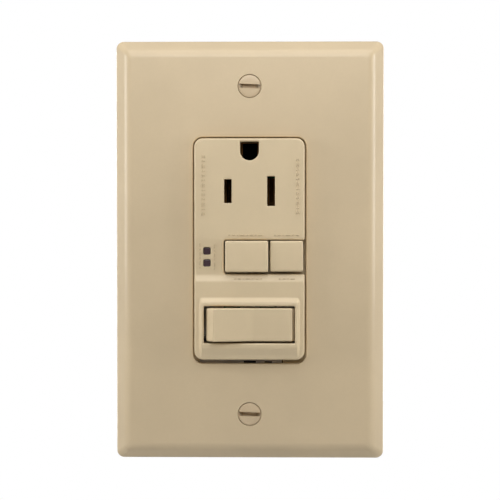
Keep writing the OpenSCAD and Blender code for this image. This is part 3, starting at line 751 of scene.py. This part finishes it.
def well_walls(shell, well):
    """Walls that widen with the rocker's sweep towards the back. Gives the outline they end in."""
    step = 0.35
    front = COVER_LOW[1] + WELL_LIP
    depths = [front + step * k for k in range(23)]
    depths = [d for d in depths if d < FACE_BACK - 0.1] + [FACE_BACK]
    rings = []
    for depth in depths:
        stretch = well_half_width(depth) / well_half_width(front)
        rings.append([(x * stretch, depth, z) for x, z in well])
    shell.loft(rings)
    return [(x, z) for x, _, z in rings[-1]]


def cover_rim():
    """The flange behind the plate's opening, cut away at the bottom, where the strap shows."""
    left, right = FACE_X
    low, high = FACE_Z
    outer = rounded_box((COVER_LOW[0], COVER_HIGH[0]), (COVER_LOW[2], COVER_HIGH[2]), 2.5)
    inner = rounded_box((left + 0.5, right - 0.5), (low + 0.5, high - 0.5), 2)
    gap = [(-15, low - 5), (9.8, low - 5), (9.8, low), (-15, low)]
    rim = prism("rim", outer, -2.6, FACE_BACK - 0.02)
    combine(rim, [prism("inner", inner, -3, 0), prism("gap", gap, -3, 0)], "DIFFERENCE")
    return rim


def make_front_cover():
    shell = Shell()
    right = FACE_X[1]
    outline = cover_outline()
    edge = fillet(0.45)
    edge_rings = [grown(outline, -d) for d, _ in edge]
    holes = cover_holes()
    lips = []
    for loop, radius in holes:
        lip = fillet(radius, 3)
        lips.append(([grown(loop, d) for d, _ in lip], [drop for _, drop in lip]))
    shell.fill((edge_rings, [d for _, d in edge]), lips, face_height, face_grid())
    well, _ = holes.pop()
    # Side walls run back to the pocket's floor, and behind it they close across the pocket
    shell.loft([at(outline, lambda x, z: face_height(x, z) + edge[0][1]), at(outline, POCKET_FLOOR)])
    on_side = [i for i, (x, _) in enumerate(outline) if abs(x - right) < 1e-6]
    enter = max(i for i in on_side if outline[i][1] < POCKET_Z[0])
    leave = min(i for i in on_side if outline[i][1] > POCKET_Z[1])
    bottom, top = outline[enter][1], outline[leave][1]
    bridge = [(right, bottom + (top - bottom) * k / 16) for k in range(1, 16)]
    whole = outline[:enter + 1] + bridge + outline[leave:]
    shell.loft([at(whole, POCKET_FLOOR), at(whole, FACE_BACK)])
    pocket = outline[enter:leave + 1] + bridge[::-1]
    stems = [circle(*RESET_STEM, 3.2, 32), circle(*TEST_STEM, 1.8, 24)]
    shell.fill(([pocket], [0]), [([s], [0]) for s in stems], lambda x, z: POCKET_FLOOR)
    for loop, radius in holes:
        shell.loft([at(loop, lambda x, z: face_height(x, z) + radius), at(loop, FACE_BACK)])
    for stem in stems:
        shell.loft([at(stem, POCKET_FLOOR), at(stem, FACE_BACK)])
    back_well = well_walls(shell, well)
    back_holes = [loop for loop, _ in holes] + stems + [back_well]
    shell.fill(([whole], [0]), [([loop], [0]) for loop in back_holes], lambda x, z: FACE_BACK)
    cover = shell.to_mesh("front_cover_moulding")
    combine(cover, [cover_rim()], "UNION")
    finish_surface(cover, 40)
    stand_for(cover, "front_cover", "housing", "face_plastic")


MARK_RISE = 0.25


def raised_bar(shell, cx, cz, length, width, upright):
    """One small round-ended bar standing on the face."""
    half_l, half_w = length / 2, width / 2
    half = (half_w, half_l) if upright else (half_l, half_w)
    rings = []
    for inset, up in ((0, -0.05), (0, MARK_RISE * 0.5), (0.035, MARK_RISE * 0.85), (0.09, MARK_RISE)):
        loop = rounded_box((cx - half[0] + inset, cx + half[0] - inset),
                           (cz - half[1] + inset, cz + half[1] - inset), max(0.03, half_w * 0.8 - inset), 3)
        rings.append(at(loop, lambda x, z: face_height(x, z) - up))
    shell.loft(rings)
    for end in (-1, 0):
        shell.cap(rings[end])


def dashes(start, stop, first, gap):
    """The middle and the length of each dash in a row, in a repeating pattern of lengths."""
    pattern = [0.9, 0.45, 1.2, 0.6, 0.9, 0.35, 1.3, 0.55]
    row, place = [], start
    while place < stop:
        length = pattern[(first + len(row)) % len(pattern)]
        row.append((place + length / 2, length))
        place += length + gap
    return row


def make_face_marks():
    """Rows of plain raised dashes where such a face carries its moulded marks."""
    shell = Shell()
    for column, low, high in ((-13.9, 10.4, 27.6), (13.9, 10.8, 26.6)):
        for z, length in dashes(low, high, 0, 0.62):
            raised_bar(shell, column, z, length, 0.4, True)
            raised_bar(shell, column + 0.62, z, length * 0.7, 0.34, True)
    for start, stop, z in ((-6.2, 4.4, 4.6), (7.2, 14.2, 4.6), (-4.6, 3.6, -8.25), (8.6, 13.4, -8.25)):
        for x, length in dashes(start, stop, 3, 0.55):
            raised_bar(shell, x, z, length, 0.42, False)
    for x, low, high in ((-14.6, -5.2, 1.4), (-10.3, -5.6, 2.0)):
        for z, length in dashes(low, high, 5, 0.55):
            raised_bar(shell, x, z, length, 0.36, True)
    marks = shell.to_mesh("face_marks")
    finish_surface(marks)
    # Darker than the face: the colour paints the shade around the raised marks.
    dress(marks, "mark_plastic_painted_shade")
    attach(marks, "housing")


# ---------------------------------------------------------------- buttons and rocker

BUTTON_EDGE = 0.4
ROCKER_TILT = math.radians(6)


def make_button(name, node, body, cap_back, stem, stem_r):
    """A pillow-edged cap on a round stem."""
    low, high = box_mm(node)
    front = low[1]
    outline = densify(rounded_box((low[0], high[0]), (low[2], high[2]), 0.45, 6), 0.6)
    middle = ((low[0] + high[0]) / 2, (low[2] + high[2]) / 2)
    half = ((high[0] - low[0]) / 2, (high[2] - low[2]) / 2)

    def crown(x, z):
        u, v = (x - middle[0]) / half[0], (z - middle[1]) / half[1]
        return front + 0.1 * (u * u) ** 2 + 0.1 * (v * v) ** 2

    edge = fillet(BUTTON_EDGE, 6)
    rings = [grown(outline, -d) for d, _ in edge]
    grid = [(x, z) for x in np.arange(low[0], high[0], 0.8) for z in np.arange(low[2], high[2], 0.8)]
    shell = Shell()
    shell.fill((rings, [d for _, d in edge]), [], crown, grid)
    shell.loft([at(outline, lambda x, z: crown(x, z) + BUTTON_EDGE), at(outline, cap_back)])
    shell.fill(([outline], [0]), [], lambda x, z: cap_back)
    cap = shell.to_mesh(name)
    combine(cap, [rod("stem", "Y", stem, stem_r, cap_back - 0.6, high[1])], "UNION")
    finish_surface(cap)
    stand_for(cap, node, body, "face_plastic")


def make_rocker():
    """A paddle with a shallow V on top and round-swept ends, resting on its right side."""
    crown, slope, skirt = -9.23, 0.115, -7.2
    corner_x, edge_r = 11.75, 0.42

    def top(x, z):
        return crown - slope * math.sqrt(x * x + 0.35)

    outline = densify(rounded_box((-corner_x, corner_x), PADDLE_Z, 0.5, 6), 0.6)
    edge = fillet(edge_r, 5)
    rings = [grown(outline, -d) for d, _ in edge]
    grid = [(x, z) for x in np.arange(-11.4, 11.5, 0.6) for z in np.arange(-26, -17, 1.5)]
    shell = Shell()
    shell.fill((rings, [d for _, d in edge]), [], top, grid)
    first = at(outline, lambda x, z: top(x, z) + edge_r)
    side_rings = [first]
    for k in range(1, 9):
        ring = []
        for (x, z), (_, y0, _) in zip(outline, first):
            y = y0 + (skirt - y0) * k / 8
            reach = math.sqrt(PADDLE_R ** 2 - (y - PIVOT_Y) ** 2)
            stretch = reach / math.sqrt(PADDLE_R ** 2 - (y0 - PIVOT_Y) ** 2)
            ring.append((x * min(stretch, 1.25) if abs(x) > corner_x - 1 else x, y, z))
        side_rings.append(ring)
    shell.loft(side_rings)
    base = [(x, z) for x, _, z in side_rings[-1]]
    shell.fill(([base], [0]), [], lambda x, z: skirt)
    turn = (PIVOT, ROCKER_TILT)
    paddle = shell.to_mesh("rocker_cap", turn)
    middle = sum(PADDLE_Z) / 2
    parts = [rod("hub", "Z", (0, PIVOT_Y), 3, PADDLE_Z[0] + 0.2, PADDLE_Z[1] - 0.2),
             rod("stubs", "Z", (0, PIVOT_Y), 1.5, PADDLE_LOW[2], PADDLE_HIGH[2])]
    for x, y, z in (((-3.4, 3.4), (-8.2, PIVOT_Y), (PADDLE_Z[0] + 1, PADDLE_Z[1] - 1)),
                    ((-2.6, 2.6), (PIVOT_Y, 6.5), (middle - 2.6, middle + 2.6))):
        parts.append(prism("web", rounded_box(x, z, 0.4, 3), y[0], y[1], turn))
    combine(paddle, parts, "UNION")
    combine(paddle, [prism("bore", circle(0, middle, 1.6, 32), 0.5, 8, turn)], "DIFFERENCE")
    finish_surface(paddle, 32)
    stand_for(paddle, "rocker_paddle", "rocker", "face_plastic")


# ---------------------------------------------------------------- other pieces

BOX_SCREW_Z = 41.65


def make_box_screws():
    """Pan-head machine screws with a real thread."""
    low, high = box_mm("box_screws")
    front, head_back = low[1], -1.3
    half, depth = 0.55, 0.9
    profile = [(0, front), (2.0, front + 0.02), (2.9, front + 0.25), (3.4, front + 0.7), (3.6, front + 1.1),
               (3.6, head_back - 0.05), (3.5, head_back), (0, head_back)]
    for side, name in ((-1, "lower"), (1, "upper")):
        centre = side * BOX_SCREW_Z
        shell = Shell()
        shell.loft([at(circle(0, centre, r, 48), y) for r, y in profile])
        screw = shell.to_mesh(f"box_screw_{name}")
        ring = [(-4, centre - half), (4, centre - half), (4, centre + half), (-4, centre + half)]
        combine(screw, [prism("slot", ring, front - 1, front + depth)], "DIFFERENCE")
        thread = threaded_rod("thread", (0, centre), 1.75, 1.42, THREAD_PITCH, head_back - 0.4, high[1])
        combine(screw, [thread], "UNION")
        finish_surface(screw, 30)
        stand_for(screw, "box_screws", "housing", "zinc_steel")


def make_spring(name, node, along, wire, turns, moving_end):
    """A coil of round wire with closed ends, filling its CAD node's box."""
    low, high = box_mm(node)
    axis = "XYZ".index(along)
    first, second = [k for k in range(3) if k != axis]
    centre = [(a + b) / 2 for a, b in zip(low, high)]
    coil_r = (high[first] - low[first]) / 2 - wire
    closed = 0.6 / turns
    count = 28 * turns
    rings = []
    for i in range(count + 1):
        angle = 2 * math.pi * turns * i / count
        climb = min(1, max(0, (i / count - closed) / (1 - 2 * closed)))
        level = (low[axis] + wire) * (1 - climb) + (high[axis] - wire) * climb
        ring = []
        for k in range(12):
            around = 2 * math.pi * k / 12
            reach = coil_r + wire * math.cos(around)
            point = [0, 0, 0]
            point[axis] = level + wire * math.sin(around)
            point[first] = centre[first] + reach * math.cos(angle)
            point[second] = centre[second] + reach * math.sin(angle)
            ring.append(tuple(point))
        rings.append(ring)
    shell = Shell()
    shell.loft(rings)
    for end in (0, -1):
        shell.cap(rings[end])
    spring = shell.to_mesh(name)
    finish_surface(spring)
    dress(spring, "zinc_steel")
    for place in ((low, high) if moving_end == "high" else (high, low)):
        point = list(centre)
        point[axis] = place[axis]
    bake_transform(spring)
    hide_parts(node)


def make_light_pipes():
    """Two square rods with softly domed dark lenses."""
    low, high = box_mm("light_pipes")
    half, edge_r = 1.05, 0.25
    for z, name in zip(LED_Z, ("upper", "lower")):
        outline = densify(rounded_box((LED_X - half, LED_X + half), (z - half, z + half), 0.4, 4), 0.5)
        edge = fillet(edge_r, 4)
        rings = [grown(outline, -d) for d, _ in edge]
        shell = Shell()

        def dome(x, height, z0=z):
            return low[1] + 0.06 * ((x - LED_X) ** 2 + (height - z0) ** 2)

        grid = [(LED_X + a, z + b) for a in (-0.5, 0, 0.5) for b in (-0.5, 0, 0.5)]
        shell.fill((rings, [d for _, d in edge]), [], dome, grid)
        shell.loft([at(outline, lambda x, h: dome(x, h) + edge_r), at(outline, high[1])])
        shell.fill(([outline], [0]), [], lambda x, h: high[1])
        pipe = shell.to_mesh(f"light_pipe_{name}")
        finish_surface(pipe)
        stand_for(pipe, "light_pipes", "housing", "smoked_lens")


def dress_frame():
    """CAD nodes that stay in view get their material, and a small bevel where edges show."""
    slots = {s["node"]: s["material_slot"] for s in frame["record"]["subparts"]}
    softened = {"rear_housing": 0.5, "mounting_strap": 0.15, "housing_screws": 0.15, "clamp_plates": 0.12,
                "brass_terminal_screws": 0.3, "silver_terminal_screws": 0.3, "switch_terminal_screws": 0.3,
                "ground_terminal_screw": 0.3, "screw_retainers": 0.08, "inner_frame": 0.1}
    # The contacts take brass darkened to paint the shade inside their holes; the strap takes steel brightened
    # and made less metallic to paint the light it catches in the plate's bottom gap.
    own = {"hot_contact": "contact_painted_shade", "neutral_contact": "contact_painted_shade",
           "ground_contact": "contact_painted_shade", "mounting_strap": "strap_steel_painted_light"}
    for name, piece in frame["nodes"].items():
        by_slot = {"ivory_plastic": "plate_plastic"}.get(slots[name], slots[name])
        dress(piece, own.get(name, by_slot))
        if name in softened:
            bevel = piece.modifiers.new("soft_edges", "BEVEL")
            bevel.width = softened[name] * MM
            bevel.segments = 2
            bevel.limit_method = "ANGLE"
            bevel.angle_limit = math.radians(40)
            bevel.harden_normals = True


# ---------------------------------------------------------------- stage

def make_stage():
    """A plain pale floor a little below the plate."""
    shell = Shell()
    ring = rounded_box((-210, 210), (-200, 52), 4, 3)
    drop = 23
    height = PLATE_LOW[2] - drop
    shell.cap([(x, y, height) for x, y in ring])
    floor = shell.to_mesh("floor")
    n = Nodes("pale_floor")
    base = n.mix(n.noise(12, 3), (0.62, 0.62, 0.61), (0.68, 0.68, 0.67))
    n.link(base, n.shader.inputs["Base Color"])
    n.shader.inputs["Roughness"].default_value = 0.8
    floor.data.materials.append(n.material)


def area_light(name, place, target, size, power, spread=math.pi):
    data = bpy.data.lights.new(name, "AREA")
    data.shape = "RECTANGLE"
    data.size, data.size_y = size
    data.energy = power
    data.spread = spread
    lamp = bpy.data.objects.new(name, data)
    lamp.location = place
    lamp.rotation_euler = (Vector(target) - Vector(place)).to_track_quat("-Z", "Y").to_euler()
    lamp.visible_camera = False
    bpy.context.scene.collection.objects.link(lamp)


def make_world():
    """Dim surroundings, brighter above than below, that shine in gloss; the view sees plain white."""
    world = bpy.data.worlds.new("studio")
    bpy.context.scene.world = world
    world.use_nodes = True
    tree = world.node_tree
    lit = tree.nodes["Background"]
    seen = tree.nodes.new("ShaderNodeBackground")
    seen.inputs["Color"].default_value = (1, 1, 1, 1)
    seen.inputs["Strength"].default_value = 1.0
    place = tree.nodes.new("ShaderNodeTexCoord")
    split = tree.nodes.new("ShaderNodeSeparateXYZ")
    tree.links.new(place.outputs["Generated"], split.inputs["Vector"])
    ramp = tree.nodes.new("ShaderNodeMapRange")
    ramp.inputs["From Min"].default_value = -0.7
    ramp.inputs["From Max"].default_value = 0.9
    ramp.inputs["To Min"].default_value = 0.04
    ramp.inputs["To Max"].default_value = 0.1
    tree.links.new(split.outputs["Z"], ramp.inputs["Value"])
    tree.links.new(ramp.outputs["Result"], lit.inputs["Strength"])
    lit.inputs["Color"].default_value = (1, 0.99, 0.97, 1)
    shiny = tree.nodes.new("ShaderNodeBackground")
    shiny.inputs["Color"].default_value = (1, 0.99, 0.97, 1)
    shiny.inputs["Strength"].default_value = 0.3
    path = tree.nodes.new("ShaderNodeLightPath")
    below = lit.outputs["Background"]
    for ray, above in (("Is Glossy Ray", shiny), ("Is Camera Ray", seen)):
        mix = tree.nodes.new("ShaderNodeMixShader")
        tree.links.new(path.outputs[ray], mix.inputs["Fac"])
        tree.links.new(below, mix.inputs[1])
        tree.links.new(above.outputs["Background"], mix.inputs[2])
        below = mix.outputs["Shader"]
    tree.links.new(below, tree.nodes["World Output"].inputs["Surface"])


def make_lights():
    """Soft panels: above, in front, at either side, two behind for the back and a wide ceiling."""
    area_light("above", (0, -0.11, 0.2), (0, 0, 0.04), (0.3, 0.1), 0.14)
    area_light("above_rear", (0, -0.05, 0.25), (0, 0, 0.03), (0.3, 0.08), 0.13)
    area_light("front", (0, -0.22, 0.15), (0, 0, 0.01), (0.2, 0.12), 0.31)
    area_light("left", (-0.3, -0.06, 0.06), (0, 0, 0.03), (0.1, 0.16), 0.46)
    area_light("right", (0.3, -0.06, 0.06), (0, 0, 0.03), (0.1, 0.16), 0.48)
    for side in (-1, 1):
        area_light(f"behind_{side}", (side * 0.3, 0.4, 0), (0, 0.02, 0), (0.3, 0.3), 0.17, math.radians(60))
    area_light("ceiling", (0, -0.1, 1.3), (0, -0.1, 0), (1.6, 1.6), 2.0)


def make_camera():
    """The photograph's view: straight on from about half a metre, a touch to the right and above."""
    data = bpy.data.cameras.new("camera")
    data.lens = 127.9
    data.sensor_width = 36
    data.clip_start = 0.01
    camera = bpy.data.objects.new("camera", data)
    distance, azimuth, elevation = 0.53, math.radians(1.2), math.radians(1.5)
    camera.location = (distance * math.sin(azimuth) * math.cos(elevation),
                       -distance * math.cos(azimuth) * math.cos(elevation),
                       distance * math.sin(elevation))
    camera.rotation_euler = (-camera.location).to_track_quat("-Z", "Y").to_euler()
    bpy.context.scene.collection.objects.link(camera)
    bpy.context.scene.camera = camera
    bpy.context.scene.view_settings.view_transform = "Standard"


make_wall_plate()
make_plate_screws()
make_front_cover()
make_face_marks()
make_button("reset_cap", "reset_button", "reset", -6.0, RESET_STEM, 1.6)
make_button("test_cap", "test_button", "test", -5.6, TEST_STEM, 1.4)
make_rocker()
make_box_screws()
make_spring("reset_coil", "reset_spring", "Y", 0.25, 5, "low")
make_spring("plunger_coil", "plunger_spring", "X", 0.2, 5, "low")
make_spring("trip_coil", "trip_spring", "Y", 0.25, 4, "high")
make_light_pipes()
dress_frame()
make_stage()
make_world()
make_lights()
make_camera()
